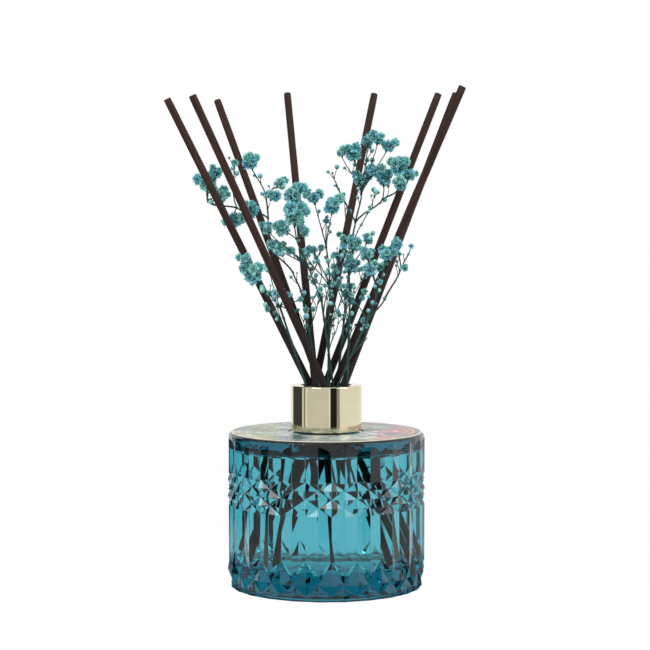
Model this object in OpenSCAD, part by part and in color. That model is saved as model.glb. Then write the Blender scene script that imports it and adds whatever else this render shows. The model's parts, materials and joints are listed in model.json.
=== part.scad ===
/* [Bottle] */
// Radius of the bottle over its ridges
bottle_r = 47.5; // [46:0.5:50]
// Height of the glass from the base to the flat shoulder
shoulder_z = 73.6; // [72:0.2:75]
// Height of the inside floor over the table
floor_z = 12; // [10:0.5:13]
// Thickness of the side wall, from the valleys of the pattern inwards
wall = 3.2; // [2.8:0.2:4]
// Thickness of the flat shoulder
shoulder_t = 5; // [4.5:0.5:5.5]
// Depth of the pressed pattern from ridge to valley
relief = 1.8; // [1:0.1:2]
// Number of arches, flutes and diamonds round the bottle
pattern_count = 24; // [16:1:30]
// Turn of the pattern round the axis, in degrees
pattern_turn = 3; // [0:0.5:15]

/* [Neck] */
// Inside radius of the neck
bore_r = 11.9; // [11.9:0.1:12.1]
// Outside radius of the neck
neck_r = 14; // [13.8:0.1:14.2]
// Height of the glass lip
lip_z = 94.6; // [94:0.1:95]

/* [Label] */
// Outside radius of the printed ring on the shoulder
label_r = 45.8; // [44:0.1:46]
// Radius of the hole in the printed ring
label_hole_r = 18.2; // [17.6:0.1:20]
// Thickness of the printed ring
label_t = 0.4; // [0.2:0.1:0.5]

/* [Collar] */
// Outside radius of the gold collar
collar_r = 17; // [16.8:0.1:17.4]
// Height of the collar's foot over the shoulder
collar_lift = 0.8; // [0.6:0.1:1.2]
// Height of the collar's top over the table
collar_top_z = 96.4; // [96:0.1:97]
// Thickness of the metal shell
shell_t = 0.6; // [0.4:0.1:0.8]
// Radius of the opening in the collar's top flange
opening_r = 12.3; // [12.2:0.1:12.5]

/* [Reeds] */
// Radius of a reed
reed_r = 1.85; // [1.5:0.05:1.85]
// Length of a reed
reed_len = 245; // [200:1:260]

/* [Sprigs] */
// Height of the cut end of every sprig, down in the bottle
stem_end_z = 46; // [40:1:60]
// Radius of a main stem
stem_r = 0.7; // [0.5:0.1:0.7]
// Radius of a side branch
branch_r = 0.5; // [0.4:0.1:0.5]

/* [Hidden] */

fine = 96;                              // facets of a preview circle
coarse = 24;                            // facets of a preview stem or blossom
cavity_r = bottle_r - relief - wall;    // inside radius of the bottle
ceiling_z = shoulder_z - shoulder_t;    // underside of the shoulder
oil_z = ceiling_z - 2;                  // level of the oil
neck_mid_z = 83;                        // height at which a reed's or stem's place is given
flare_z = 77;                           // height below which the bore widens
flare_r = 17;                           // radius of the bore where it meets the cavity
turn_gap = 0.1;                         // clearance between the turning collar and the neck
seal_gap = 0.05;                        // clearance over and under the neck seal
foot_gap = 0.2;                         // height of a reed's lowest edge over the inside floor
bore_gap = 0.04;                        // clearance round a reed or stem in the oil

// Each reed: x and y at the middle of the neck, lean from upright, heading from +X,
// and how far it is drawn up from the floor
reed_lines = [
    [-1.5, 2.8, 26.5, -172, 0],
    [5.4, -6.5, 27, -151, 0],
    [2.2, 0.8, 25, 143, 0],
    [-4, -6.5, 22.5, 104, 0],
    [-7.9, 3.5, 22.5, 60, 0],
    [-5.4, 7, 23.5, 25, 0],
    [3.3, -3.3, 27, 39, 8],
    [-1.3, 7.7, 25, -26, 2]
];

// Each sprig's straight lower stem: x and y at the middle of the neck, lean, heading,
// and the height of its first fork
stem_lines = [
    [-5.5, 0.5, 20, -153, 134],
    [-0.5, -8.5, 16, 134, 141],
    [5, 4.5, 17, -116, 137],
    [0.5, -1.5, 6, 77, 142],
    [4, 9, 6, -7, 168],
    [-0.5, -3, 26, -25, 127],
    [9.5, -1.5, 7, -75, 137]
];

// Each sprig's forks and blossoms: the number of the fork it grows from (0 is the first fork),
// x, y, z, and the radius of the blossom, or 0 at a fork
sprig_forks = [
    [
        [0, -31, -9, 145, 0], [1, -35, -10, 149, 4], [1, -38, -11, 156, 2.8],
        [1, -31, -13, 153, 1.6], [0, -28, -11, 133, 1.5], [0, -18, -12, 140, 1.5],
        [0, -16, -11, 132, 1.6], [0, -12, -12, 138, 1.4]
    ],
    [
        [0, -16, 5, 150, 0], [1, -27, 7, 162, 0], [2, -28, 8, 176, 0], [3, -29, 8, 187, 0],
        [3, -43, 8, 181, 0], [5, -57, 8, 184, 0], [6, -57, 9, 193, 4], [6, -51, 10, 187, 3.5],
        [5, -44, 5, 175, 3.5], [5, -44, 9, 203, 1.9], [4, -37, 8, 203, 3.5],
        [6, -53, 6, 198, 2.8], [3, -36, 5, 180, 3.5], [4, -22, 9, 193, 2.8],
        [4, -24, 5, 187, 2.8]
    ],
    [
        [0, -8, -12, 152, 0], [1, -14, -13, 166, 0], [2, -15, -15, 177, 4.5],
        [2, -16, -11, 187, 4], [2, -21, -12, 171, 3.3], [1, -28, -13, 171, 2.4],
        [1, -22.5, -11, 162, 3], [1, -17, -10, 161, 2.2], [2, -10, -12, 170, 2.5]
    ],
    [
        [0, 0, 4, 162, 0], [1, -6, 5, 186, 3], [1, 3, 3, 182, 3.7], [1, 0, 5, 175, 1.7],
        [0, -10, 4, 159, 2.4], [0, -6, 6, 161, 1.9], [0, 3, 3, 149, 1.4], [0, -6, 3, 146, 1.8]
    ],
    [
        [0, 14, 8, 174, 0], [1, 27, 9, 185, 0], [2, 34, 9, 189, 0], [1, 11, 9, 180, 0],
        [4, 6, 10, 190, 0], [5, 3, 14, 198, 0.8], [1, 17, 9, 188, 0], [7, 7, 14, 208, 2.2],
        [7, 13, 8, 207, 3.6], [7, 20, 10, 214, 2.9], [7, 25, 7, 214, 2.6], [7, 30, 9, 211, 2.9],
        [7, 23, 6, 199, 2.9], [2, 28, 11, 195, 3.4], [7, 17, 11, 195, 3.1], [3, 35, 8, 200, 3.8],
        [3, 41, 10, 197, 2.6], [3, 36, 6, 192, 2.9]
    ],
    [
        [0, 28, -14, 139, 0], [1, 35, -14, 152, 0], [2, 40, -15, 163, 1.3],
        [0, 24, -13, 141, 0], [0, 12, -13, 140, 1.2], [4, 28, -17, 159, 3],
        [2, 33, -16, 164, 2.8], [2, 37, -16, 153, 1.9], [4, 19, -14, 159, 3],
        [4, 21, -16, 152, 2.6], [4, 25, -12, 153, 2.2]
    ],
    [
        [0, 11, -8, 150, 0], [1, 8, -8, 163, 1.9], [1, 11, -9, 158, 1.9], [1, 12, -7, 153, 3],
        [1, 4, -9, 159, 1.7], [1, 13, -6, 163, 2.8], [1, 20, -8, 166, 2.4],
        [0, 3, -8, 145, 1.6], [0, 8, -9, 144, 1.4], [0, 12, -6, 144, 1.6]
    ]
];

// ---------------------------------------------------------------- pressed glass bottle

// Height and radius down a valley column and down a ridge column of the pattern
ridge_r = bottle_r;
valley_r = bottle_r - relief;
flute_r = bottle_r - 0.2;
base_r = bottle_r - 2.6;
shoulder_r = bottle_r - 1.5;
valley_column = [
    [0, base_r], [3, valley_r], [7.6, ridge_r], [20, valley_r], [39.2, valley_r],
    [43.2, ridge_r], [47.2, valley_r], [51.2, ridge_r], [55.2, valley_r], [66.5, valley_r],
    [shoulder_z, shoulder_r]
];
ridge_column = [
    [0, base_r], [7.6, valley_r], [12, flute_r], [39, flute_r], [43.2, valley_r],
    [47.2, ridge_r], [51.2, valley_r], [55, flute_r], [70, flute_r], [shoulder_z, shoulder_r]
];
valleys = len(valley_column);
ridges = len(ridge_column);
// Triangles that lace a valley column to the ridge column at its right: a plain number is a
// point of the valley column, and a number from R up is a point of the ridge column
R = 100;
lacing = [
    [0, R, 1], [R, R + 1, 1], [1, R + 1, 2], [2, R + 1, 3], [3, R + 1, R + 2], [3, R + 2, 4],
    [R + 2, R + 3, 4], [4, R + 3, R + 4], [4, R + 4, 5], [5, R + 4, 6], [6, R + 4, R + 5],
    [6, R + 5, R + 6], [6, R + 6, 7], [7, R + 6, 8], [8, R + 6, R + 7], [8, R + 7, 9],
    [R + 7, R + 8, 9], [9, R + 8, R + 9], [9, R + 9, 10]
];

function column_angle(k) = -90 + pattern_turn + k * 180 / pattern_count;
function ring_point(zr, angle) = [zr[1] * cos(angle), zr[1] * sin(angle), zr[0]];
// Number of a lacing point in period i, where the valley column is the one at i + step
function corner(i, step, p) =
    p >= R ? i * (valleys + ridges) + valleys + p - R
    : ((i + step) % pattern_count) * (valleys + ridges) + p;

module pressed_body() {
    periods = [0 : pattern_count - 1];
    points = [
        for (i = periods) each concat(
            [for (zr = valley_column) ring_point(zr, column_angle(2 * i))],
            [for (zr = ridge_column) ring_point(zr, column_angle(2 * i + 1))]
        )
    ];
    right_sides = [
        for (i = periods) for (t = lacing) [corner(i, 0, t[2]), corner(i, 0, t[1]), corner(i, 0, t[0])]
    ];
    left_sides = [
        for (i = periods) for (t = lacing) [corner(i, 1, t[0]), corner(i, 1, t[1]), corner(i, 1, t[2])]
    ];
    base_face = [for (i = periods) each [corner(i, 0, 0), corner(i, 0, R)]];
    top_face = [
        for (i = [pattern_count - 1 : -1 : 0])
            each [corner(i, 0, R + ridges - 1), corner(i, 0, valleys - 1)]
    ];
    polyhedron(points, concat(right_sides, left_sides, [base_face, top_face]));
}

module cavity(top, gap) {
    r = cavity_r - gap;
    low = floor_z + gap;
    high = min(ceiling_z, top);
    rotate_extrude($fn = fine)
        polygon([
            [0, low], [r - 3, low], [r - 0.9, low + 0.9], [r, low + 3], [r, high - 3],
            [r - 0.9, high - 0.9], [r - 3, high], [0, high]
        ]);
}

module glass_bottle() {
    color("teal", 0.6) difference() {
        union() {
            pressed_body();
            translate([0, 0, shoulder_z - 1])
                cylinder(r = neck_r, h = lip_z - shoulder_z + 1, $fn = fine);
        }
        cavity(ceiling_z, 0);
        translate([0, 0, ceiling_z - 0.01])
            cylinder(r1 = flare_r, r2 = bore_r, h = flare_z - ceiling_z + 0.01, $fn = fine);
        translate([0, 0, flare_z - 0.01]) cylinder(r = bore_r, h = lip_z - flare_z + 1, $fn = fine);
    }
}

module fragrance_oil() {
    color("lightseagreen", 0.5) difference() {
        cavity(oil_z, 0.02);
        for (k = [0 : len(reed_lines) - 1]) along_reed(k) translate([0, 0, -3])
            cylinder(r = reed_r + bore_gap, h = 90, $fn = coarse);
        for (k = [0 : len(stem_lines) - 1]) along_stem(k) translate([0, 0, -1])
            cylinder(r = stem_r + bore_gap, h = 40, $fn = coarse);
    }
}

// ---------------------------------------------------------------- label, collar and seal

module ring(inner, outer, low, high) {
    translate([0, 0, low]) difference() {
        cylinder(r = outer, h = high - low, $fn = fine);
        translate([0, 0, -1]) cylinder(r = inner, h = high - low + 2, $fn = fine);
    }
}

module top_label() {
    color("slategray") ring(label_hole_r, label_r, shoulder_z, shoulder_z + label_t);
}

module collar_shell() {
    foot = shoulder_z + collar_lift;
    top = collar_top_z;
    t = shell_t;
    color("gold") rotate_extrude($fn = fine)
        polygon([
            [collar_r - t, foot], [collar_r, foot], [collar_r, top - 0.5],
            [collar_r - 0.15, top - 0.15], [collar_r - 0.5, top], [opening_r + 0.2, top],
            [opening_r, top - 0.2], [opening_r, top - t], [collar_r - t, top - t]
        ]);
}

module collar_liner() {
    color("ivory")
        ring(neck_r + turn_gap, collar_r - shell_t, shoulder_z + collar_lift + 0.4,
            collar_top_z - shell_t);
}

module neck_seal() {
    color("whitesmoke")
        ring(opening_r + 0.1, neck_r, lip_z + seal_gap, collar_top_z - shell_t - seal_gap);
}

// ---------------------------------------------------------------- reeds

// Puts its children on a reed's axis, with the reed's foot at the origin
module along_reed(k) {
    line = reed_lines[k];
    foot_z = floor_z + foot_gap + reed_r * sin(line[2]) + line[4] * cos(line[2]);
    run = (foot_z - neck_mid_z) * tan(line[2]);
    translate([line[0] + run * cos(line[3]), line[1] + run * sin(line[3]), foot_z])
        rotate([0, line[2], line[3]]) children();
}

module reed(k) {
    color("#3b2722") along_reed(k) cylinder(r = reed_r, h = reed_len, $fn = coarse);
}

// ---------------------------------------------------------------- flower sprigs

// Point of a sprig's lower stem at height z
function stem_at(k, z) =
    let (line = stem_lines[k], run = (z - neck_mid_z) * tan(line[2]))
    [line[0] + run * cos(line[3]), line[1] + run * sin(line[3]), z];
// Place of fork n of sprig k, where fork 0 ends the lower stem
function fork(k, n) =
    n == 0 ? stem_at(k, stem_lines[k][4])
    : [for (axis = [1 : 3]) sprig_forks[k][n - 1][axis]];

module along_stem(k) {
    line = stem_lines[k];
    translate(stem_at(k, stem_end_z)) rotate([0, line[2], line[3]]) children();
}

module twig(a, b, r) {
    hull() {
        translate(a) sphere(r = r, $fn = 8);
        translate(b) sphere(r = r, $fn = 8);
    }
}

module sprig_stem(k) {
    color("darkslategray") {
        twig(stem_at(k, stem_end_z), fork(k, 0), stem_r);
        for (n = [1 : len(sprig_forks[k])])
            twig(fork(k, sprig_forks[k][n - 1][0]), fork(k, n), branch_r);
    }
}

module sprig_blossoms(k) {
    color("mediumturquoise")
        for (n = [1 : len(sprig_forks[k])])
            if (sprig_forks[k][n - 1][4] > 0)
                translate(fork(k, n)) sphere(r = sprig_forks[k][n - 1][4], $fn = coarse);
}

glass_bottle();
fragrance_oil();
top_label();
collar_shell();
collar_liner();
neck_seal();
reed(0);  // reed_1
reed(1);  // reed_2
reed(2);  // reed_3
reed(3);  // reed_4
reed(4);  // reed_5
reed(5);  // reed_6
reed(6);  // reed_7
reed(7);  // reed_8
sprig_stem(0);  // sprig_1_stem
sprig_stem(1);  // sprig_2_stem
sprig_stem(2);  // sprig_3_stem
sprig_stem(3);  // sprig_4_stem
sprig_stem(4);  // sprig_5_stem
sprig_stem(5);  // sprig_6_stem
sprig_stem(6);  // sprig_7_stem
sprig_blossoms(0);  // sprig_1_blossoms
sprig_blossoms(1);  // sprig_2_blossoms
sprig_blossoms(2);  // sprig_3_blossoms
sprig_blossoms(3);  // sprig_4_blossoms
sprig_blossoms(4);  // sprig_5_blossoms
sprig_blossoms(5);  // sprig_6_blossoms
sprig_blossoms(6);  // sprig_7_blossoms
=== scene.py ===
import math
import random
import json

import bmesh
import bpy
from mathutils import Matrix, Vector


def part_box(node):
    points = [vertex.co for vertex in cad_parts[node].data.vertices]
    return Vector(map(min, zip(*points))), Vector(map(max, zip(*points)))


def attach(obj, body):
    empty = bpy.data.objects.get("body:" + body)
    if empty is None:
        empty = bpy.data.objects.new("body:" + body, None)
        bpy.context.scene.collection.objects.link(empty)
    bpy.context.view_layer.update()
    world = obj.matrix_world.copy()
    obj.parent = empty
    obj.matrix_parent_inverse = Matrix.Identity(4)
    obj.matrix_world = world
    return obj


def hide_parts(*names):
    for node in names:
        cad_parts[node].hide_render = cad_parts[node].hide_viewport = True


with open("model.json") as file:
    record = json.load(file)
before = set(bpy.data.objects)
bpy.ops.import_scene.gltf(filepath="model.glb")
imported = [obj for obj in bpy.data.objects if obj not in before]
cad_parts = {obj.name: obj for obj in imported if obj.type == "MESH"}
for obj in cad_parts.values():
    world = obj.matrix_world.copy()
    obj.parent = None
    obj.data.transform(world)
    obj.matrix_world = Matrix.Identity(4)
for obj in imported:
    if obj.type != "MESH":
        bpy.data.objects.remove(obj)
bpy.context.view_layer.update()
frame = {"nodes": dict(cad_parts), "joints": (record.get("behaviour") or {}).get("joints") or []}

MM = 0.001
SPRIGS = range(1, 8)
REEDS = range(1, 9)
REED_R = 1.85
LABEL_HOLE_R = 18.2
GOLDEN_ANGLE = 2.39996


# ---------------------------------------------------------------- mesh helpers

def new_object(name, verts, faces):
    """A smooth-shaded mesh object from points in millimetres."""
    mesh = bpy.data.meshes.new(name)
    mesh.from_pydata([tuple(c * MM for c in v) for v in verts], [], faces)
    mesh.validate()
    mesh.polygons.foreach_set("use_smooth", [True] * len(mesh.polygons))
    mesh.update()
    obj = bpy.data.objects.new(name, mesh)
    bpy.context.collection.objects.link(obj)
    return obj


def outward(obj):
    """Turns every face of a closed mesh outwards."""
    bm = bmesh.new()
    bm.from_mesh(obj.data)
    bmesh.ops.recalc_face_normals(bm, faces=bm.faces)
    bm.to_mesh(obj.data)
    bm.free()


def arc(cx, cz, r, start, stop, steps):
    """Points of an arc in the (radius, height) plane, in millimetres and degrees."""
    angles = [math.radians(start + (stop - start) * i / steps) for i in range(steps + 1)]
    return [(cx + r * math.cos(a), cz + r * math.sin(a)) for a in angles]


def revolve(name, profile, columns=96, closed=True):
    """Turns a (radius, height) outline round Z; a closed outline makes a ring."""
    verts = []
    for r, z in profile:
        for c in range(columns):
            a = 2 * math.pi * c / columns
            verts.append((r * math.cos(a), r * math.sin(a), z))
    rows = len(profile)
    faces = []
    for i in range(rows if closed else rows - 1):
        low, high = i * columns, (i + 1) % rows * columns
        for c in range(columns):
            d = (c + 1) % columns
            faces.append((low + c, low + d, high + d, high + c))
    if not closed:
        faces.append(tuple(reversed(range(columns))))
        faces.append(tuple(range((rows - 1) * columns, rows * columns)))
    obj = new_object(name, verts, faces)
    outward(obj)
    return obj


def finish_piece(obj, materials, body, slot, *nodes):
    """Gives a piece its materials and its body, and hides the CAD nodes it stands for; slot is not used.
    """
    for material in materials:
        obj.data.materials.append(material)
    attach(obj, body)
    if nodes:
        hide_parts(*nodes)
    return obj


# ---------------------------------------------------------------- material helpers

class Shader:
    """A Principled material with short calls for the nodes that feed it."""

    def __init__(self, name, **values):
        self.material = bpy.data.materials.new(name)
        self.material.use_nodes = True
        self.nodes = self.material.node_tree.nodes
        self.links = self.material.node_tree.links
        self.surface = self.nodes["Principled BSDF"]
        for socket, value in values.items():
            self.surface.inputs[socket.replace("_", " ")].default_value = value
        self.place = self.nodes.new("ShaderNodeTexCoord").outputs["Object"]

    def noise(self, scale, detail=4.0, roughness=0.55, stretch=(1, 1, 1), place=None):
        mapping = self.nodes.new("ShaderNodeMapping")
        mapping.inputs["Scale"].default_value = stretch
        self.links.new(place or self.place, mapping.inputs["Vector"])
        node = self.nodes.new("ShaderNodeTexNoise")
        node.inputs["Scale"].default_value = scale
        node.inputs["Detail"].default_value = detail
        node.inputs["Roughness"].default_value = roughness
        self.links.new(mapping.outputs["Vector"], node.inputs["Vector"])
        return node.outputs["Fac"]

    def math(self, operation, a, b=0.0):
        node = self.nodes.new("ShaderNodeMath")
        node.operation = operation
        for socket, value in zip(node.inputs, (a, b)):
            if isinstance(value, (int, float)):
                socket.default_value = value
            else:
                self.links.new(value, socket)
        return node.outputs["Value"]

    def span(self, value, low, high, to_low=0.0, to_high=1.0):
        node = self.nodes.new("ShaderNodeMapRange")
        node.interpolation_type = "SMOOTHSTEP"
        for socket, number in zip(list(node.inputs)[1:5], (low, high, to_low, to_high)):
            socket.default_value = number
        self.links.new(value, node.inputs["Value"])
        return node.outputs["Result"]

    def mix(self, fac, a, b):
        node = self.nodes.new("ShaderNodeMix")
        node.data_type = "RGBA"
        sockets = (node.inputs["Factor"], node.inputs[6], node.inputs[7])
        for socket, value in zip(sockets, (fac, a, b)):
            if isinstance(value, (int, float)):
                socket.default_value = value
            elif isinstance(value, tuple):
                socket.default_value = (*value, 1.0)
            else:
                self.links.new(value, socket)
        return node.outputs[2]

    def bump(self, height, distance, strength=1.0):
        node = self.nodes.new("ShaderNodeBump")
        node.inputs["Distance"].default_value = distance
        node.inputs["Strength"].default_value = strength
        self.links.new(height, node.inputs["Height"])
        self.links.new(node.outputs["Normal"], self.surface.inputs["Normal"])

    def feed(self, socket, value):
        self.links.new(value, self.surface.inputs[socket])


# ---------------------------------------------------------------- materials

def clear_body(name, tint, ior, wall_ior, absorbed, density):
    """Glass or oil: faces marked "against" meet the other of the two, and bend light less."""
    s = Shader(name, Base_Color=(*tint, 1), Roughness=0.0, IOR=ior, Transmission_Weight=1.0)
    s.bump(s.noise(90.0, 2.0), 0.00006, 0.6)
    wall = s.nodes.new("ShaderNodeBsdfPrincipled")
    wall.inputs["Base Color"].default_value = (1, 1, 1, 1)
    wall.inputs["Roughness"].default_value = 0.0
    wall.inputs["IOR"].default_value = wall_ior
    wall.inputs["Transmission Weight"].default_value = 1.0
    mask = s.nodes.new("ShaderNodeAttribute")
    mask.attribute_name = "against"
    blend = s.nodes.new("ShaderNodeMixShader")
    s.links.new(mask.outputs["Fac"], blend.inputs["Fac"])
    s.links.new(s.surface.outputs["BSDF"], blend.inputs[1])
    s.links.new(wall.outputs["BSDF"], blend.inputs[2])
    output = s.nodes["Material Output"]
    s.links.new(blend.outputs["Shader"], output.inputs["Surface"])
    inside = s.nodes.new("ShaderNodeVolumeAbsorption")
    inside.inputs["Color"].default_value = (*absorbed, 1.0)
    inside.inputs["Density"].default_value = density
    s.links.new(inside.outputs["Volume"], output.inputs["Volume"])
    return s.material


def teal_glass():
    return clear_body("teal_pressed_glass", (0.11, 0.49, 0.575), 1.5, 1.5 / 1.43,
                      (0.10, 0.70, 0.76), 55.0)


def diffuser_oil():
    return clear_body("fragrance_oil", (0.96, 0.99, 1.0), 1.43, 1.001, (0.5, 0.85, 0.9), 1.0)


def mark_against(obj, test):
    """Marks the faces that the test picks by their centre, for clear_body."""
    layer = obj.data.attributes.new("against", "FLOAT", "FACE")
    for polygon in obj.data.polygons:
        layer.data[polygon.index].value = 1.0 if test(*polygon.center) else 0.0


def gold():
    s = Shader("polished_gold", Base_Color=(0.68, 0.62, 0.43, 1), Metallic=1.0, Roughness=0.08)
    lines = s.noise(300.0, 3.0, 0.6, stretch=(0.3, 0.3, 14.0))
    smears = s.noise(60.0, 3.0)
    s.feed("Roughness", s.math("ADD", s.span(lines, 0.3, 0.7, 0.02, 0.05),
                               s.span(smears, 0.45, 0.7, 0.0, 0.04)))
    s.feed("Base Color", s.mix(s.span(smears, 0.35, 0.7), (0.74, 0.675, 0.475), (0.69, 0.625, 0.42)))
    s.bump(lines, 0.00001, 0.25)
    return s.material


def reed_fibre():
    s = Shader("reed_fibre", Roughness=0.85, IOR=1.45, Specular_IOR_Level=0.25)
    coord = s.nodes.new("ShaderNodeTexCoord").outputs["UV"]
    fibre = s.noise(1.0, 5.0, 0.6, stretch=(26.0, 3.5, 1.0), place=coord)
    blotch = s.noise(55.0, 3.0)
    fine = s.noise(2600.0, 2.0)
    base = s.mix(s.span(fibre, 0.32, 0.68), (0.016, 0.007, 0.005), (0.066, 0.030, 0.022))
    base = s.mix(s.span(blotch, 0.4, 0.75, 0.0, 0.45), base, (0.038, 0.019, 0.015))
    # Painted shade: the lower parts of the reeds, towards the neck, darken 85% of the way to near black
    # below about 0.10 m up, fading out by 0.20 m.
    axes = s.nodes.new("ShaderNodeSeparateXYZ")
    s.links.new(s.place, axes.inputs["Vector"])
    height = s.math("ADD", axes.outputs["Z"], s.math("MULTIPLY", blotch, 0.02))
    neck_shade = s.span(height, 0.10, 0.20, 0.85, 0.0)
    s.feed("Base Color", s.mix(neck_shade, base, (0.012, 0.009, 0.009)))
    s.feed("Roughness", s.span(fibre, 0.3, 0.7, 0.82, 0.62))
    s.bump(s.math("ADD", fibre, s.math("MULTIPLY", fine, 0.25)), 0.00025, 0.8)
    return s.material


def dyed_stem():
    s = Shader("dyed_stem", Roughness=0.7, IOR=1.45)
    blotch = s.noise(120.0, 3.0)
    s.feed("Base Color", s.mix(s.span(blotch, 0.35, 0.7), (0.008, 0.040, 0.036), (0.022, 0.095, 0.080)))
    s.bump(s.noise(900.0, 3.0, 0.6, stretch=(1, 1, 0.3)), 0.0001, 0.6)
    return s.material


def dyed_petals():
    s = Shader("dyed_petals", Roughness=0.75, IOR=1.4, Subsurface_Weight=0.3,
               Subsurface_Radius=(0.0004, 0.0008, 0.001), Sheen_Weight=0.15)
    shade = s.nodes.new("ShaderNodeAttribute")
    shade.attribute_name = "shade"
    parts = s.nodes.new("ShaderNodeSeparateColor")
    s.links.new(shade.outputs["Color"], parts.inputs["Color"])
    tip, hue, dark = (parts.outputs[name] for name in ("Red", "Green", "Blue"))
    # Painted shade: petals are deep at their roots, down in the blossom, and pale at their tips; a bud
    # runs the same way from deep at its foot to pale at its top.
    root_shade = s.mix(hue, (0.02, 0.17, 0.23), (0.02, 0.19, 0.17))
    pale = s.mix(hue, (0.21, 0.63, 0.74), (0.37, 0.77, 0.67))
    petal = s.mix(s.span(tip, 0.25, 0.95), root_shade, pale)
    vein = s.noise(2200.0, 2.0)
    petal = s.mix(s.span(vein, 0.52, 0.72, 0.0, 0.45), petal, (0.50, 0.84, 0.84))
    # The dark channel: painted shade on the bud at each blossom's heart; it also darkens the cup of each
    # bud and, slightly, the petals of small blossoms.
    s.feed("Base Color", s.mix(dark, petal, (0.02, 0.11, 0.12)))
    s.feed("Roughness", s.span(vein, 0.3, 0.7, 0.82, 0.66))
    s.bump(vein, 0.0001, 0.5)
    return s.material


def label_print():
    """Slate-blue printed film with a thin pale ring and loose patches of flowers and leaves."""
    s = Shader("label_print", Roughness=0.35, IOR=1.5)
    axes = s.nodes.new("ShaderNodeSeparateXYZ")
    s.links.new(s.place, axes.inputs["Vector"])
    x, y = axes.outputs["X"], axes.outputs["Y"]
    radius = s.math("SQRT", s.math("ADD", s.math("MULTIPLY", x, x), s.math("MULTIPLY", y, y)))
    cells = s.nodes.new("ShaderNodeTexVoronoi")
    cells.inputs["Scale"].default_value = 230.0
    s.links.new(s.place, cells.inputs["Vector"])
    dots = s.span(cells.outputs["Distance"], 0.3, 0.4, 1.0, 0.0)
    cloud = s.noise(42.0, 4.0)
    ground = s.mix(s.span(cloud, 0.42, 0.58), (0.09, 0.16, 0.19), (0.41, 0.49, 0.47))
    leaves = s.noise(110.0, 4.0, 0.65)
    ground = s.mix(s.span(leaves, 0.56, 0.60, 0.0, 0.85), ground, (0.07, 0.19, 0.12))
    rose = s.math("MULTIPLY", s.span(x, 0.012, 0.030), s.span(s.noise(95.0, 4.0), 0.46, 0.54))
    ground = s.mix(s.math("MULTIPLY", rose, 0.85), ground, (0.50, 0.15, 0.14))
    olive = s.math("MULTIPLY", s.span(x, -0.016, -0.032), s.span(s.noise(100.0, 4.0), 0.45, 0.53))
    ground = s.mix(s.math("MULTIPLY", olive, 0.8), ground, (0.34, 0.31, 0.10))
    petals = s.math("MULTIPLY", dots, s.span(cloud, 0.46, 0.54))
    ground = s.mix(s.math("MULTIPLY", petals, 0.85), ground, (0.76, 0.74, 0.62))
    turn = s.math("MULTIPLY", s.math("ARCTAN2", x, y), 72.0)
    beads = s.math("MULTIPLY", s.span(s.math("SINE", turn), 0.1, 0.5),
                   s.math("MULTIPLY", s.span(radius, 0.0375, 0.038), s.span(radius, 0.039, 0.0395, 1, 0)))
    ground = s.mix(s.math("MULTIPLY", beads, 0.7), ground, (0.62, 0.60, 0.48))
    line = s.math("MULTIPLY", s.span(radius, 0.0415, 0.0418), s.span(radius, 0.0421, 0.0424, 1, 0))
    rim = s.span(radius, 0.0449, 0.0452)
    ground = s.mix(s.math("MAXIMUM", s.math("MULTIPLY", line, 0.75), rim), ground, (0.72, 0.68, 0.52))
    s.feed("Base Color", ground)
    s.feed("Roughness", s.span(cloud, 0.3, 0.7, 0.28, 0.42))
    s.bump(leaves, 0.00003, 0.4)
    return s.material


def moulded(name, color, roughness, grain):
    s = Shader(name, Roughness=roughness, IOR=1.46)
    soft = s.noise(grain, 3.0)
    s.feed("Base Color", s.mix(s.span(soft, 0.3, 0.7), color, tuple(c * 0.88 for c in color)))
    s.feed("Roughness", s.span(soft, 0.3, 0.7, roughness - 0.08, roughness + 0.08))
    s.bump(soft, 0.00008, 0.5)
    return s.material


# ---------------------------------------------------------------- pressed glass bottle

SHOULDER_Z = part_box("top_label")[0][2] / MM
LIP_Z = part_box("glass_bottle")[1][2] / MM
RIDGE_R = 47.5
VALLEY_R = 45.7
FLUTE_R = 47.3
BASE_R = 45.6
SHOULDER_R = 46.2
PERIODS = 24
PATTERN_TURN = 3.0
CAVITY_R = 42.5
FLOOR_Z = 12.0
CEILING_Z = 68.6
ARCH_STEPS = 5
VALLEY_COLUMN = [
    (0.0, BASE_R), (2.6, VALLEY_R - 0.3), (7.8, RIDGE_R), (18.8, VALLEY_R), (39.2, VALLEY_R),
    (43.2, RIDGE_R), (47.2, VALLEY_R), (51.2, RIDGE_R), (55.2, VALLEY_R), (66.5, VALLEY_R),
    (SHOULDER_Z - 0.8, RIDGE_R - 0.5), (SHOULDER_Z, SHOULDER_R),
]
RIDGE_COLUMN = [
    (0.0, BASE_R + 0.5), (7.4, VALLEY_R - 0.4), (12.6, FLUTE_R), (39.5, FLUTE_R), (43.2, VALLEY_R),
    (47.2, RIDGE_R), (51.2, VALLEY_R), (54.6, FLUTE_R), (71.2, FLUTE_R),
    (SHOULDER_Z - 0.8, RIDGE_R - 0.5), (SHOULDER_Z, SHOULDER_R),
]
# Faces between a valley column (v) and the ridge column (r) beside it; "arch" is the polyline
# from the valley to the ridge under the shoulder
LACING = [
    "v0 r0 v1", "r0 r1 v1", "v1 r1 v2", "v2 r1 v3", "v3 r1 r2", "v3 r2 r3 v4", "v4 r3 r4",
    "v4 r4 v5", "v5 r4 v6", "v6 r4 r5", "v6 r5 r6", "v6 r6 v7", "v7 r6 v8", "v8 r6 r7",
    "v8 r7 r8 -arch v9", "v9 arch r8 r9 v10", "v10 r9 r10 v11",
]


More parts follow.
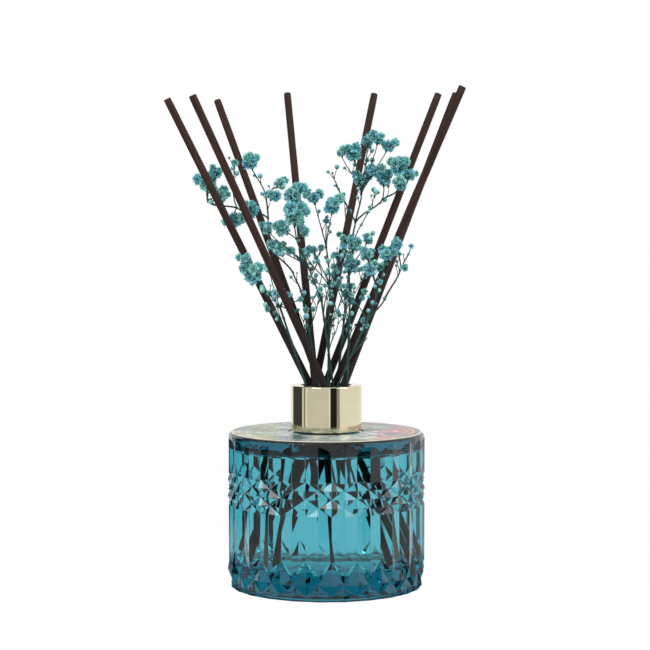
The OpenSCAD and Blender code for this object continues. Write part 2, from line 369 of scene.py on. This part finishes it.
def bottle_outside(verts, faces):
    """Adds the pressed side of the bottle; returns the vertex rings at its base and its top."""
    columns = []
    step = 180.0 / PERIODS

    def point(zr, k):
        a = math.radians(-90 + PATTERN_TURN + k * step)
        verts.append((zr[1] * math.cos(a), zr[1] * math.sin(a), zr[0]))
        return len(verts) - 1

    for k in range(2 * PERIODS):
        columns.append([point(zr, k) for zr in (RIDGE_COLUMN if k % 2 else VALLEY_COLUMN)])
    z_low, z_high = VALLEY_COLUMN[9][0], RIDGE_COLUMN[8][0]
    for k in range(2 * PERIODS):
        right = (k + 1) % (2 * PERIODS)
        valley, ridge = (right, k) if k % 2 else (k, right)
        side = -1 if k % 2 else 1
        arch = []
        for i in range(1, ARCH_STEPS):
            u = i / ARCH_STEPS
            z = z_low + (z_high - z_low) * math.sqrt(1 - (1 - u) ** 2)
            r = VALLEY_R + (FLUTE_R - VALLEY_R) * u
            arch.append(point((z, r), (k + 1 if k % 2 else k) + side * u))
        for face in LACING:
            ids = []
            for word in face.split():
                if word.endswith("arch"):
                    ids += arch[::-1] if word[0] == "-" else arch
                else:
                    column = columns[valley if word[0] == "v" else ridge]
                    ids.append(column[int(word[1:])])
            faces.append(ids)
    return [c[0] for c in columns], [c[-1] for c in columns]


def add_ring(verts, r, z, columns, wave=0.0):
    first = len(verts)
    turn = math.radians(-90 + PATTERN_TURN)
    for c in range(columns):
        a = turn + 2 * math.pi * c / columns
        rr = r + wave * (math.sin(5 * a + z * 0.11) + 0.6 * math.sin(11 * a - z * 0.23))
        verts.append((rr * math.cos(a), rr * math.sin(a), z))
    return list(range(first, first + columns))


def join_rings(faces, a, b):
    n = len(a)
    for c in range(n):
        d = (c + 1) % n
        faces.append([a[c], a[d], b[d], b[c]])


def join_double(faces, few, many):
    """Joins a ring to one with twice as many points."""
    n = len(few)
    for c in range(n):
        d = (c + 1) % n
        faces.append([few[c], few[d], many[2 * d], many[2 * c + 1], many[2 * c]])


def crease(obj, pressed):
    """Gives the creases of the first faces, the pressed ones, a bevel weight."""
    bm = bmesh.new()
    bm.from_mesh(obj.data)
    weight = bm.edges.layers.float.new("bevel_weight_edge")
    for edge in bm.edges:
        beside = any(face.index < pressed for face in edge.link_faces)
        if beside and edge.calc_face_angle(0.0) > math.radians(5):
            edge[weight] = 1.0
    bm.to_mesh(obj.data)
    bm.free()


def make_bottle():
    verts, faces = [], []
    base, top = bottle_outside(verts, faces)
    pressed = len(faces)
    columns = 4 * PERIODS
    under = [add_ring(verts, r, z, columns) for r, z in ((41.0, 0.0), (40.2, 0.1), (38.0, 0.3))]
    join_double(faces, base, under[0])
    for a, b in zip(under, under[1:]):
        join_rings(faces, a, b)
    faces.append(under[-1])
    neck_foot = [(17.0, SHOULDER_Z)] + arc(15.2, SHOULDER_Z + 1.2, 1.2, 270, 180, 4)
    lip = arc(13.2, LIP_Z - 0.8, 0.8, 0, 90, 4) + arc(12.6, LIP_Z - 0.7, 0.7, 90, 180, 4)
    flare = arc(17.0, 73.7, 5.1, 180, 270, 8)
    ceiling = arc(CAVITY_R - 4, CEILING_Z - 4, 4, 90, 0, 8)
    floor = arc(CAVITY_R - 4, FLOOR_Z + 4, 4, 0, -90, 8)
    inside = [(r, z, 0.0) for r, z in neck_foot + lip + flare]
    inside += [(r, z, 0.0) for r, z in ceiling]
    inside += [(CAVITY_R, z, 0.008) for z in range(60, 16, -4)]
    inside += [(r, z, 0.0) for r, z in floor] + [(20.0, FLOOR_Z - 0.05, 0.0)]
    rings = [add_ring(verts, r, z, columns, wave) for r, z, wave in inside]
    join_double(faces, top, rings[0])
    for a, b in zip(rings, rings[1:]):
        join_rings(faces, a, b)
    faces.append(rings[-1])
    obj = new_object("pressed_bottle", verts, faces)
    outward(obj)
    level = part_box("fragrance_oil")[1][2]
    mark_against(obj, lambda x, y, z: FLOOR_Z * MM - 0.0002 < z < level - 0.0005
                 and math.hypot(x, y) < CAVITY_R * MM + 0.0001)
    crease(obj, pressed)
    bevel = obj.modifiers.new("soft_edges", "BEVEL")
    bevel.width = 0.0002
    bevel.segments = 2
    bevel.limit_method = "WEIGHT"
    bevel.harden_normals = True
    return obj


def make_oil():
    """The oil fills the cavity a hair past the glass, with a small meniscus at its level."""
    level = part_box("fragrance_oil")[1][2] / MM
    over = 0.04
    r = CAVITY_R + over
    outline = [(12.0, FLOOR_Z - 0.12)] + arc(r - 4, FLOOR_Z + 4 - over, 4, -90, 0, 8)
    outline += [(r, z) for z in range(18, 62, 4)]
    outline += [(r, level - 1.2), (r - 0.1, level - 0.1), (r - 0.5, level - 0.4)]
    outline += [(r - 1.2, level - 0.7), (r - 3.0, level - 0.8), (12.0, level - 0.8)]
    obj = revolve("oil_fill", outline, closed=False)
    mark_against(obj, lambda x, y, z: z < (level - 1.3) * MM)
    return obj


# ---------------------------------------------------------------- collar and label

def make_collar():
    (x0, _, z0), (_, _, z1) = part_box("collar_shell")
    r, foot, top = -x0 / MM, z0 / MM, z1 / MM
    opening, t = 12.3, 0.6
    outline = arc(r - 0.3, foot + 0.3, 0.3, -90, 0, 3)
    outline += [(r, foot + 2), (r, top - 6), (r, top - 2)]
    outline += arc(r - 0.7, top - 0.7, 0.7, 0, 90, 6)
    outline += [(opening + 1.5, top), (opening + 0.4, top - 0.02)]
    outline += arc(opening + 0.35, top - 0.35, 0.35, 90, 180, 4)
    outline += [(opening, top - t), (r - t, top - t), (r - t, foot)]
    return revolve("gold_collar", outline, columns=160)


def make_label():
    (x0, _, z0), (_, _, z1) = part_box("top_label")
    r, low, top = -x0 / MM, z0 / MM + 0.03, z1 / MM
    outline = [(LABEL_HOLE_R, low), (r - 0.1, low), (r, low + 0.15), (r - 0.05, top - 0.1), (r - 0.2, top)]
    outline += [(r - 4, top), (34.0, top), (26.0, top), (18.4, top), (LABEL_HOLE_R, top - 0.1)]
    return revolve("printed_label", outline, columns=192)


# ---------------------------------------------------------------- reeds

def joint_axis(body):
    """The unit axis of the joint that moves a body."""
    for joint in frame["joints"]:
        if joint["child"] == body:
            return Vector(joint["axis"]).normalized()
    raise ValueError(body)


def reed_line(k):
    """Foot and tip of a reed, from its CAD node's points and its joint's axis."""
    node = frame["nodes"][f"reed_{k}"]
    axis = joint_axis(f"reed_{k}")
    points = [Vector(v.co) for v in node.data.vertices]
    runs = [p.dot(axis) for p in points]
    ends = []
    for limit in (min(runs), max(runs)):
        near = [p for p, run in zip(points, runs) if abs(run - limit) < 0.0001]
        box_low = [min(p[i] for p in near) for i in range(3)]
        box_high = [max(p[i] for p in near) for i in range(3)]
        ends.append(Vector([(a + b) / 2 for a, b in zip(box_low, box_high)]))
    return ends[0] / MM, ends[1] / MM


def make_reed(k):
    """A drawn fibre rod: a slightly uneven round with shallow grooves and a rough cut end."""
    rng = random.Random(100 + k)
    foot, tip = reed_line(k)
    axis = (tip - foot).normalized()
    side = axis.orthogonal().normalized()
    other = axis.cross(side)
    length = (tip - foot).length
    sides, rings, radius = 36, 64, REED_R
    groove = [rng.uniform(0.0, 0.06) for _ in range(sides)]
    phase = [rng.uniform(0, 6.28) for _ in range(3)]
    verts, faces = [], []
    for i in range(rings + 1):
        run = length * i / rings
        swell = 0.02 * math.sin(run * 0.11 + phase[0]) + 0.015 * math.sin(run * 0.31 + phase[1])
        end = min(run, length - run)
        edge = 0.0 if end > 0.01 else 0.1
        for c in range(sides):
            a = 2 * math.pi * c / sides + 0.002 * run
            r = radius - 0.02 + swell - groove[c] - edge
            verts.append(foot + axis * run + side * (r * math.cos(a)) + other * (r * math.sin(a)))
    for i in range(rings):
        for c in range(sides):
            d = (c + 1) % sides
            faces.append((i * sides + c, i * sides + d, (i + 1) * sides + d, (i + 1) * sides + c))
    for ring, inward in ((0, 0.35), (rings, -0.35)):
        start = ring * sides
        hub = len(verts)
        centre = foot if ring == 0 else tip
        for c in range(sides):
            a = 2 * math.pi * c / sides
            r = 1.15 + rng.uniform(-0.1, 0.1)
            dip = axis * (inward * rng.uniform(0.1, 0.5))
            verts.append(centre + dip + side * (r * math.cos(a)) + other * (r * math.sin(a)))
        verts.append(centre + axis * inward * 0.6)
        for c in range(sides):
            d = (c + 1) % sides
            faces.append((start + c, start + d, hub + d, hub + c))
            faces.append((hub + c, hub + d, hub + sides))
    obj = new_object(f"fibre_reed_{k}", verts, faces)
    outward(obj)
    layer = obj.data.uv_layers.new(name="UVMap")
    for polygon in obj.data.polygons:
        for loop in polygon.loop_indices:
            v = obj.data.vertices[obj.data.loops[loop].vertex_index].co / MM
            around = math.atan2((v - foot).dot(other), (v - foot).dot(side)) / math.pi
            layer.data[loop].uv = (abs(around) + 3.7 * k, (v - foot).dot(axis) / 100)
    return obj


# ---------------------------------------------------------------- flower sprigs

# Straight lower stem of each sprig: x and y at height 83, lean, heading, height of its first fork
STEM_LINES = [
    [-5.5, 0.5, 20, -153, 134],
    [-0.5, -8.5, 16, 134, 141],
    [5, 4.5, 17, -116, 137],
    [0.5, -1.5, 6, 77, 142],
    [4, 9, 6, -7, 168],
    [-0.5, -3, 26, -25, 127],
    [9.5, -1.5, 7, -75, 137]
]
# Forks and blossoms of each sprig, in millimetres: the fork it grows from, x, y, z, blossom radius
FORKS = [
    [
        [0, -31, -9, 145, 0], [1, -35, -10, 149, 4], [1, -38, -11, 156, 2.8],
        [1, -31, -13, 153, 1.6], [0, -28, -11, 133, 1.5], [0, -18, -12, 140, 1.5],
        [0, -16, -11, 132, 1.6], [0, -12, -12, 138, 1.4]
    ],
    [
        [0, -16, 5, 150, 0], [1, -27, 7, 162, 0], [2, -28, 8, 176, 0], [3, -29, 8, 187, 0],
        [3, -43, 8, 181, 0], [5, -57, 8, 184, 0], [6, -57, 9, 193, 4], [6, -51, 10, 187, 3.5],
        [5, -44, 5, 175, 3.5], [5, -44, 9, 203, 1.9], [4, -37, 8, 203, 3.5],
        [6, -53, 6, 198, 2.8], [3, -36, 5, 180, 3.5], [4, -22, 9, 193, 2.8],
        [4, -24, 5, 187, 2.8]
    ],
    [
        [0, -8, -12, 152, 0], [1, -14, -13, 166, 0], [2, -15, -15, 177, 4.5],
        [2, -16, -11, 187, 4], [2, -21, -12, 171, 3.3], [1, -28, -13, 171, 2.4],
        [1, -22.5, -11, 162, 3], [1, -17, -10, 161, 2.2], [2, -10, -12, 170, 2.5]
    ],
    [
        [0, 0, 4, 162, 0], [1, -6, 5, 186, 3], [1, 3, 3, 182, 3.7], [1, 0, 5, 175, 1.7],
        [0, -10, 4, 159, 2.4], [0, -6, 6, 161, 1.9], [0, 3, 3, 149, 1.4], [0, -6, 3, 146, 1.8]
    ],
    [
        [0, 14, 8, 174, 0], [1, 27, 9, 185, 0], [2, 34, 9, 189, 0], [1, 11, 9, 180, 0],
        [4, 6, 10, 190, 0], [5, 3, 14, 198, 0.8], [1, 17, 9, 188, 0], [7, 7, 14, 208, 2.2],
        [7, 13, 8, 207, 3.6], [7, 20, 10, 214, 2.9], [7, 25, 7, 214, 2.6], [7, 30, 9, 211, 2.9],
        [7, 23, 6, 199, 2.9], [2, 28, 11, 195, 3.4], [7, 17, 11, 195, 3.1], [3, 35, 8, 200, 3.8],
        [3, 41, 10, 197, 2.6], [3, 36, 6, 192, 2.9]
    ],
    [
        [0, 28, -14, 139, 0], [1, 35, -14, 152, 0], [2, 40, -15, 163, 1.3],
        [0, 24, -13, 141, 0], [0, 12, -13, 140, 1.2], [4, 28, -17, 159, 3],
        [2, 33, -16, 164, 2.8], [2, 37, -16, 153, 1.9], [4, 19, -14, 159, 3],
        [4, 21, -16, 152, 2.6], [4, 25, -12, 153, 2.2]
    ],
    [
        [0, 11, -8, 150, 0], [1, 8, -8, 163, 1.9], [1, 11, -9, 158, 1.9], [1, 12, -7, 153, 3],
        [1, 4, -9, 159, 1.7], [1, 13, -6, 163, 2.8], [1, 20, -8, 166, 2.4],
        [0, 3, -8, 145, 1.6], [0, 8, -9, 144, 1.4], [0, 12, -6, 144, 1.6]
    ]
]
STEM_END_Z = 46.0
NECK_MID_Z = 83.0


def stem_at(k, z):
    """The point of a sprig's lower stem at a height."""
    x, y, lean, heading, _ = STEM_LINES[k]
    run = (z - NECK_MID_Z) * math.tan(math.radians(lean))
    h = math.radians(heading)
    return Vector((x + run * math.cos(h), y + run * math.sin(h), z))


def curve_between(a, b, start, rng, steps=7):
    """A twig that leaves a along start and bends gently over to b."""
    span = (b - a).length
    lift = a + start * span * 0.38
    arrive = b - ((b - a).normalized() * 0.6 + Vector((0, 0, 0.4))).normalized() * span * 0.3
    sway = Vector([rng.uniform(-1, 1) for _ in range(3)]) * span * 0.03
    points = []
    for i in range(steps + 1):
        t = i / steps
        p = a * (1 - t) ** 3 + lift * 3 * t * (1 - t) ** 2
        p += (arrive + sway) * 3 * t * t * (1 - t) + b * t ** 3
        points.append(p)
    return points


def tube(verts, faces, path, r0, r1, sides=7):
    """Adds a tapered round twig along a path."""
    first = len(verts)
    normal = (path[1] - path[0]).orthogonal().normalized()
    for i, p in enumerate(path):
        ahead = path[min(i + 1, len(path) - 1)] - path[max(i - 1, 0)]
        ahead.normalize()
        normal = (normal - ahead * normal.dot(ahead)).normalized()
        other = ahead.cross(normal)
        r = r0 + (r1 - r0) * i / (len(path) - 1)
        for c in range(sides):
            a = 2 * math.pi * c / sides
            verts.append(p + normal * (r * math.cos(a)) + other * (r * math.sin(a)))
    for i in range(len(path) - 1):
        for c in range(sides):
            d = (c + 1) % sides
            row = first + i * sides
            faces.append((row + c, row + d, row + sides + d, row + sides + c))
    faces.append(tuple(range(first + sides - 1, first - 1, -1)))
    last = first + (len(path) - 1) * sides
    faces.append(tuple(range(last, last + sides)))


def knuckle(verts, faces, p, r):
    """Adds the small swelling at a fork."""
    first = len(verts)
    for row in range(1, 5):
        for c in range(8):
            a, b = 2 * math.pi * c / 8, math.pi * row / 5
            verts.append(p + Vector((math.sin(b) * math.cos(a), math.sin(b) * math.sin(a),
                                     math.cos(b))) * r)
    for row in range(3):
        for c in range(8):
            d = (c + 1) % 8
            i = first + row * 8
            faces.append((i + c, i + 8 + c, i + 8 + d, i + d))
    faces.append(tuple(range(first, first + 8)))
    faces.append(tuple(range(first + 31, first + 23, -1)))


def petal(verts, faces, shades, centre, out, length, width, curl, hue, dark, rng):
    """Adds one ruffled petal that grows outwards from a blossom's centre."""
    side = out.cross(Vector((rng.uniform(-1, 1), rng.uniform(-1, 1), rng.uniform(-1, 1))))
    side.normalize()
    up = side.cross(out)
    first = len(verts)
    rows = ((0.12, 0.10), (0.5, 0.75), (0.82, 1.0), (1.0, 0.62))
    for t, w in rows:
        for s in (-1.0, 0.0, 1.0):
            ruffle = rng.uniform(-0.06, 0.06) * length
            notch = 0.10 * length if (t == 1.0 and s == 0.0) else 0.0
            bend = up * (curl * length * t * t + ruffle + 0.12 * length * abs(s) * t)
            verts.append(centre + out * (length * t - notch) + side * (width * w * s / 2) + bend)
            shades.append((t, hue, dark))
    for row in range(len(rows) - 1):
        for c in range(2):
            i = first + row * 3 + c
            faces.append((i, i + 1, i + 4, i + 3))


def blossom(verts, faces, shades, centre, r, grow, hue, rng):
    """Adds a double blossom: many small ruffled petals round a bud that is darkened at its heart as
    painted shade.
    """
    small = r < 1.3
    count = 14 if small else int(30 + 15 * r)
    for i in range(count):
        z = 1 - (i + 0.5) / count * (1.2 if small else 1.7)
        a = i * GOLDEN_ANGLE + rng.uniform(-0.3, 0.3)
        ring = math.sqrt(max(0.0, 1 - z * z))
        out = Vector((ring * math.cos(a), ring * math.sin(a), z))
        out.rotate(Vector((0, 0, 1)).rotation_difference(grow))
        length = r * rng.uniform(0.74, 1.04)
        width = r * rng.uniform(0.35, 0.62)
        tone = min(1.0, max(0.0, hue + rng.uniform(-0.18, 0.18)))
        petal(verts, faces, shades, centre - grow * r * 0.15, out, length, width,
              rng.uniform(-0.25, 0.45), tone, 0.3 if small else 0.0, rng)
    # Painted shade: the bud at the blossom's heart, sunk among the petal roots, is darkened to 0.75.
    bud(verts, faces, shades, centre - grow * r * 0.4, r * 0.42, grow, hue, 0.75, rng)


def bud(verts, faces, shades, centre, r, grow, hue, dark, rng):
    """Adds a closed bud: an egg with five lobes, dark at its cup."""
    side = grow.orthogonal().normalized()
    other = grow.cross(side)
    first = len(verts)
    rows, columns = 7, 10
    spin = rng.uniform(0, 6.28)
    for row in range(rows):
        b = math.pi * (row + 0.3) / (rows - 0.4)
        for c in range(columns):
            a = 2 * math.pi * c / columns
            width = r * math.sin(b) * (1 + 0.13 * math.cos(5 * a + spin) * math.sin(b))
            verts.append(centre + (side * math.cos(a) + other * math.sin(a)) * width
                         + grow * (r * 1.12 * math.cos(b)))
            shades.append((0.95 - 0.8 * row / rows, hue, max(dark, 0.7 if row > 4 else 0.0)))
    for row in range(rows - 1):
        for c in range(columns):
            d = (c + 1) % columns
            i = first + row * columns
            faces.append((i + c, i + columns + c, i + columns + d, i + d))
    faces.append(tuple(range(first, first + columns)))
    last = first + rows * columns
    faces.append(tuple(range(last - 1, last - columns - 1, -1)))


class Sprig:
    """One dried sprig: a branching stem, its blossoms, and fine twigs with buds between them."""

    def __init__(self, k):
        self.k = k
        self.rng = random.Random(20 + k)
        self.stem = ([], [])
        self.bloom = ([], [], [])

    def direction(self, up=0.4):
        """A random direction that points more or less upwards."""
        turn = self.rng.uniform(0, 2 * math.pi)
        return Vector((math.cos(turn), math.sin(turn), self.rng.uniform(up, up + 0.8))).normalized()

    def head(self, a, ahead, b, r):
        """A short stalk from a to b with a bud or a blossom on it."""
        grow = (b - a).normalized()
        path = curve_between(a, b, (ahead + grow).normalized(), self.rng, 4)
        path[-1] = b - grow * r * 0.5
        tube(*self.stem, path, 0.2 + 0.02 * r, 0.14, 6)
        hue = self.rng.uniform(0.1, 1.0)
        if r < 1.4 and self.rng.random() < 0.6:
            bud(*self.bloom, b, r, grow, hue, 0.0, self.rng)
        else:
            blossom(*self.bloom, b, r, grow, hue, self.rng)

    def side_buds(self, path, spacing):
        """Short side stalks with buds along a twig."""
        length = (path[-1] - path[0]).length
        for _ in range(int(length / spacing) + 1):
            i = self.rng.randint(2, len(path) - 2)
            ahead = (path[i + 1] - path[i]).normalized()
            out = (ahead + self.direction()).normalized()
            r = self.rng.uniform(0.6, 1.25)
            self.head(path[i], ahead, path[i] + out * self.rng.uniform(3.0, 6.5), r)

    def spray(self, a, ahead):
        """A long fine twig off the main stem, forked near its end, with a few buds."""
        out = (ahead * 1.6 + self.direction(0.3)).normalized()
        b = a + out * self.rng.uniform(14, 30)
        path = curve_between(a, b, ahead, self.rng, 8)
        tube(*self.stem, path, 0.3, 0.2, 6)
        self.side_buds(path, 14.0)
        tip = (path[-1] - path[-2]).normalized()
        for _ in range(self.rng.randint(2, 3)):
            turn = (tip + self.direction()).normalized()
            r = self.rng.uniform(0.7, 1.9)
            self.head(b, tip, b + turn * self.rng.uniform(3.5, 8.0), r)

    def cluster(self, centre, r, grow):
        """A blossom with smaller ones crowded round it."""
        blossom(*self.bloom, centre, r * 1.12, grow, self.rng.uniform(0.0, 0.8), self.rng)
        if r < 2.3:
            return
        start = centre - grow * r * 1.3
        for _ in range(3 if r < 3 else 4):
            side = (self.direction(0.0) + grow * 0.3).normalized()
            r_small = r * self.rng.uniform(0.5, 0.88)
            self.head(start, grow, centre + side * (r * 0.75 + r_small * 0.8), r_small)

    def build(self):
        rows = FORKS[self.k]
        first_fork = stem_at(self.k, STEM_LINES[self.k][4])
        foot = stem_at(self.k, STEM_END_Z)
        places = [first_fork] + [Vector(row[1:4]) for row in rows]
        along = (first_fork - foot).normalized()
        tube(*self.stem, [foot.lerp(first_fork, i / 12) for i in range(13)], 0.62, 0.5, 9)
        knuckle(*self.stem, first_fork, 0.8)
        for z in range(108, int(first_fork.z) - 4, 9):
            a = stem_at(self.k, z + self.rng.uniform(-3, 3))
            knuckle(*self.stem, a, 0.75)
            self.spray(a, along)
        grow = [along]
        for n, row in enumerate(rows, 1):
            parent, r = row[0], row[4]
            a, b = places[parent], places[n]
            start = (grow[parent] * 0.7 + (b - a).normalized()).normalized()
            path = curve_between(a, b, start, self.rng)
            grow.append((path[-1] - path[-2]).normalized())
            if r:
                path[-1] = b - grow[n] * r * 0.45
                tube(*self.stem, path, 0.34, 0.2)
                self.cluster(b, r, grow[n])
            else:
                tube(*self.stem, path, 0.45, 0.36)
                knuckle(*self.stem, b, 0.62)
            self.side_buds(path, 9.0)
        stem = new_object(f"sprig_{self.k + 1}_twigs", *self.stem)
        verts, faces, shades = self.bloom
        bloom = new_object(f"sprig_{self.k + 1}_petals", verts, faces)
        layer = bloom.data.color_attributes.new("shade", "FLOAT_COLOR", "POINT")
        for i, shade in enumerate(shades):
            layer.data[i].color = (*shade, 1.0)
        return stem, bloom


# ---------------------------------------------------------------- studio

class Room:
    """The light tent's dark flags beside the camera, for the sky's nodes and the floor's."""

    # Start and stop in degrees round the object, 0 towards the camera and positive to its right,
    # and how much light each flag takes away
    FLAGS = ((13, 35, 0.98), (35, 44, 0.65), (-136, -84, 0.94), (-78, -71, 0.7), (-64, 8, 0.25))

    def __init__(self, tree, coord):
        self.nodes, self.links = tree.nodes, tree.links
        split = self.nodes.new("ShaderNodeSeparateXYZ")
        self.links.new(self.nodes.new("ShaderNodeTexCoord").outputs[coord], split.inputs["Vector"])
        self.x, self.y, self.z = (split.outputs[axis] for axis in "XYZ")

    def calc(self, operation, a, b=0.0):
        node = self.nodes.new("ShaderNodeMath")
        node.operation = operation
        for socket, value in zip(node.inputs, (a, b)):
            if isinstance(value, (int, float)):
                socket.default_value = value
            else:
                self.links.new(value, socket)
        return node.outputs["Value"]

    def step(self, value, start, stop):
        node = self.nodes.new("ShaderNodeMapRange")
        node.interpolation_type = "SMOOTHSTEP"
        self.links.new(value, node.inputs["Value"])
        node.inputs["From Min"].default_value = start
        node.inputs["From Max"].default_value = stop
        return node.outputs["Result"]

    def glow(self):
        angle = self.calc("ARCTAN2", self.x, self.calc("MULTIPLY", self.y, -1.0))
        angle = self.calc("MULTIPLY", angle, 180 / math.pi)
        shade = 0.0
        for start, stop, depth in self.FLAGS:
            flag = self.calc("MULTIPLY", self.step(angle, start - 1.5, start + 1.5),
                             self.step(angle, stop + 1.5, stop - 1.5))
            shade = self.calc("MAXIMUM", shade, self.calc("MULTIPLY", flag, depth))
        return self.calc("SUBTRACT", 1.0, shade)

    def seen(self, glow):
        """Plain white where the camera looks straight at it, and the glow everywhere else."""
        path = self.nodes.new("ShaderNodeLightPath").outputs["Is Camera Ray"]
        return self.calc("MAXIMUM", glow, path)


def make_floor():
    bpy.ops.mesh.primitive_plane_add(size=30.0, location=(0, 0, -0.0004))
    floor = bpy.context.object
    floor.name = "studio_floor"
    material = bpy.data.materials.new("studio_white")
    material.use_nodes = True
    surface = material.node_tree.nodes["Principled BSDF"]
    surface.inputs["Base Color"].default_value = (0, 0, 0, 1)
    surface.inputs["Specular IOR Level"].default_value = 0.0
    surface.inputs["Roughness"].default_value = 0.9
    surface.inputs["Emission Color"].default_value = (1, 1, 1, 1)
    room = Room(material.node_tree, "Object")
    far = room.calc("SQRT", room.calc("ADD", room.calc("MULTIPLY", room.x, room.x),
                                      room.calc("MULTIPLY", room.y, room.y)))
    near = room.step(far, 0.3, 0.15)
    glow = room.calc("MAXIMUM", room.glow(), near)
    # Painted shadow: the floor's glow is cut to nothing within 44 mm of the bottle's axis and comes back
    # in full by 90 mm; the camera still sees the floor plain white there.
    glow = room.calc("MULTIPLY", glow, room.step(far, 0.044, 0.09))
    room.links.new(room.calc("MULTIPLY", room.seen(glow), 0.99),
                   surface.inputs["Emission Strength"])
    floor.data.materials.append(material)


def make_sky():
    """A white light tent, plain white to the camera."""
    world = bpy.data.worlds.new("light_tent")
    bpy.context.scene.world = world
    world.use_nodes = True
    back = world.node_tree.nodes["Background"]
    back.inputs["Color"].default_value = (1, 1, 1, 1)
    room = Room(world.node_tree, "Generated")
    open_top = room.step(room.z, 0.5, 0.9)
    glow = room.calc("MAXIMUM", room.glow(), open_top)
    room.links.new(room.seen(glow), back.inputs["Strength"])


def area_light(name, place, aim, size, power):
    data = bpy.data.lights.new(name, "AREA")
    data.shape = "RECTANGLE"
    data.size, data.size_y = size
    data.energy = power
    light = bpy.data.objects.new(name, data)
    light.location = place
    light.rotation_euler = (Vector(aim) - Vector(place)).to_track_quat("-Z", "Y").to_euler()
    bpy.context.collection.objects.link(light)


def make_camera():
    data = bpy.data.cameras.new("camera")
    data.sensor_width = 36.0
    data.lens = 103.0
    data.clip_start = 0.01
    camera = bpy.data.objects.new("camera", data)
    camera.location = (-0.0006, -0.890, 0.1716)
    camera.rotation_euler = (math.radians(87.0), 0.0, 0.0)
    bpy.context.collection.objects.link(camera)
    bpy.context.scene.camera = camera


# ---------------------------------------------------------------- build

make_camera()
make_floor()
make_sky()
area_light("key", (-0.7, -0.9, 1.1), (0, 0, 0.12), (0.7, 0.7), 9.0)
area_light("fill", (0.9, -0.5, 0.7), (0, 0, 0.12), (0.6, 0.9), 4.0)

finish_piece(make_bottle(), [teal_glass()], "bottle", "teal_glass", "glass_bottle")
finish_piece(make_oil(), [diffuser_oil()], "bottle", "oil", "fragrance_oil")
finish_piece(make_label(), [label_print()], "bottle", "label_print", "top_label")
finish_piece(make_collar(), [gold()], "collar", "gold", "collar_shell")

liner = frame["nodes"]["collar_liner"]
liner.data.materials.clear()
liner.data.materials.append(moulded("liner_plastic", (0.80, 0.79, 0.75), 0.45, 400.0))
seal = frame["nodes"]["neck_seal"]
seal.data.materials.clear()
seal.data.materials.append(moulded("seal_foam", (0.86, 0.86, 0.84), 0.8, 1500.0))

fibre = reed_fibre()
for k in REEDS:
    finish_piece(make_reed(k), [fibre], f"reed_{k}", "reed_fibre", f"reed_{k}")

stalk, petals = dyed_stem(), dyed_petals()
for k in SPRIGS:
    stem, bloom = Sprig(k - 1).build()
    finish_piece(stem, [stalk], f"sprig_{k}", "stem_dyed", f"sprig_{k}_stem")
    finish_piece(bloom, [petals], f"sprig_{k}", "petals_dyed", f"sprig_{k}_blossoms")

scene = bpy.context.scene
scene.view_settings.view_transform = "Standard"
scene.view_settings.look = "None"
